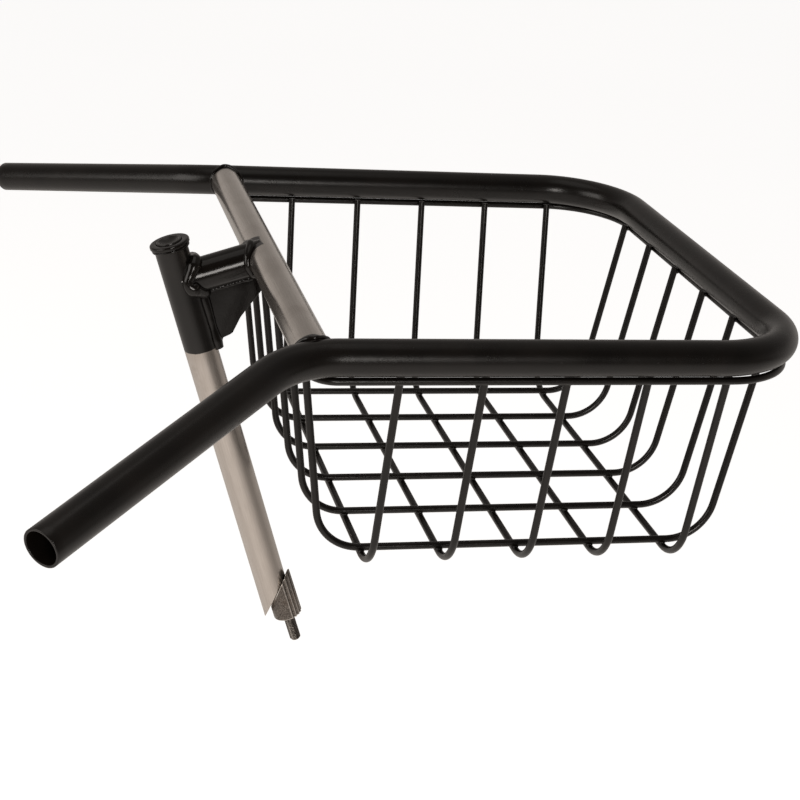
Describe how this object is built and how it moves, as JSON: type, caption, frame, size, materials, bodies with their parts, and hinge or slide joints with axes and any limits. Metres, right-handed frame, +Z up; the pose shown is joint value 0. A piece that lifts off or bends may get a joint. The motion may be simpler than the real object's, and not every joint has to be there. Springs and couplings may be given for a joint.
{
  "type": "handlebar basket",
  "caption": "Bicycle handlebar whose bent tube is also the frame of a wire basket, carried on a quill stem with an expander bolt and wedge.",
  "frame": {"origin": "on the quill's axis at the line where its paint stops, which is where the stem meets the fork's headset", "axes": "+Z up, -Y the way the bicycle travels, +X to the rider's left; the basket's frame is level and the quill leans back by the head angle"},
  "size_m": [0.6702, 0.4872, 0.306],
  "materials": {
    "black_paint": "satin near-black paint",
    "bare_tube": "satin bare steel, warm grey",
    "bare_quill": "fine brushed bare steel, warm light grey",
    "dark_steel": "dark burnished steel",
    "wedge_steel": "dark grainy cast steel",
    "zinc_steel": "dull zinc plate",
    "black_nylon": "black moulded nylon"
  },
  "bodies": {
    "frame": {"handlebar_tube": "black_paint", "cross_tube": "bare_tube", "stem_extension": "black_paint", "gusset_plate": "black_paint", "quill_tube": "bare_quill", "top_collar": "black_paint", "bolt_seat": "dark_steel", "rim_wire": "black_paint", "long_wire_1": "black_paint", "long_wire_2": "black_paint", "long_wire_3": "black_paint", "long_wire_4": "black_paint", "long_wire_5": "black_paint", "long_wire_6": "black_paint", "cross_wire_1": "black_paint", "cross_wire_2": "black_paint", "cross_wire_3": "black_paint", "cross_wire_4": "black_paint", "cross_wire_5": "black_paint"},
    "plug": {"dust_plug": "black_nylon"},
    "washer": {"bolt_washer": "zinc_steel"},
    "bolt": {"expander_bolt": "dark_steel"},
    "wedge": {"expander_wedge": "wedge_steel"}
  },
  "joints": [
    {"name": "plug_lift", "type": "slide", "parent": "frame", "child": "plug", "axis": [0, 0.3123, 0.95], "range_m": [0, 0.03]},
    {"name": "bolt_swing", "type": "hinge", "parent": "frame", "child": "washer", "pos_m": [0, 0.01687, 0.0513], "axis": [0.9205, -0.3712, 0.122], "range_deg": [-0.02, 1.25]},
    {"name": "bolt_turn", "type": "hinge", "parent": "washer", "child": "bolt", "pos_m": [0, 0.01687, 0.0513], "axis": [0.008, 0.3302, 0.9439], "range_deg": [-30, 2210]},
    {"name": "wedge_slide", "type": "slide", "parent": "frame", "child": "wedge", "axis": [0.2297, 0.2613, -0.9375], "range_m": [-0.00013, 0.00955]}
  ],
  "couplings": [
    {"joint": "bolt_turn", "follows": "wedge_slide", "rad_per_m": 4035.5},
    {"joint": "bolt_swing", "follows": "wedge_slide", "rad_per_m": 2.2599}
  ]
}
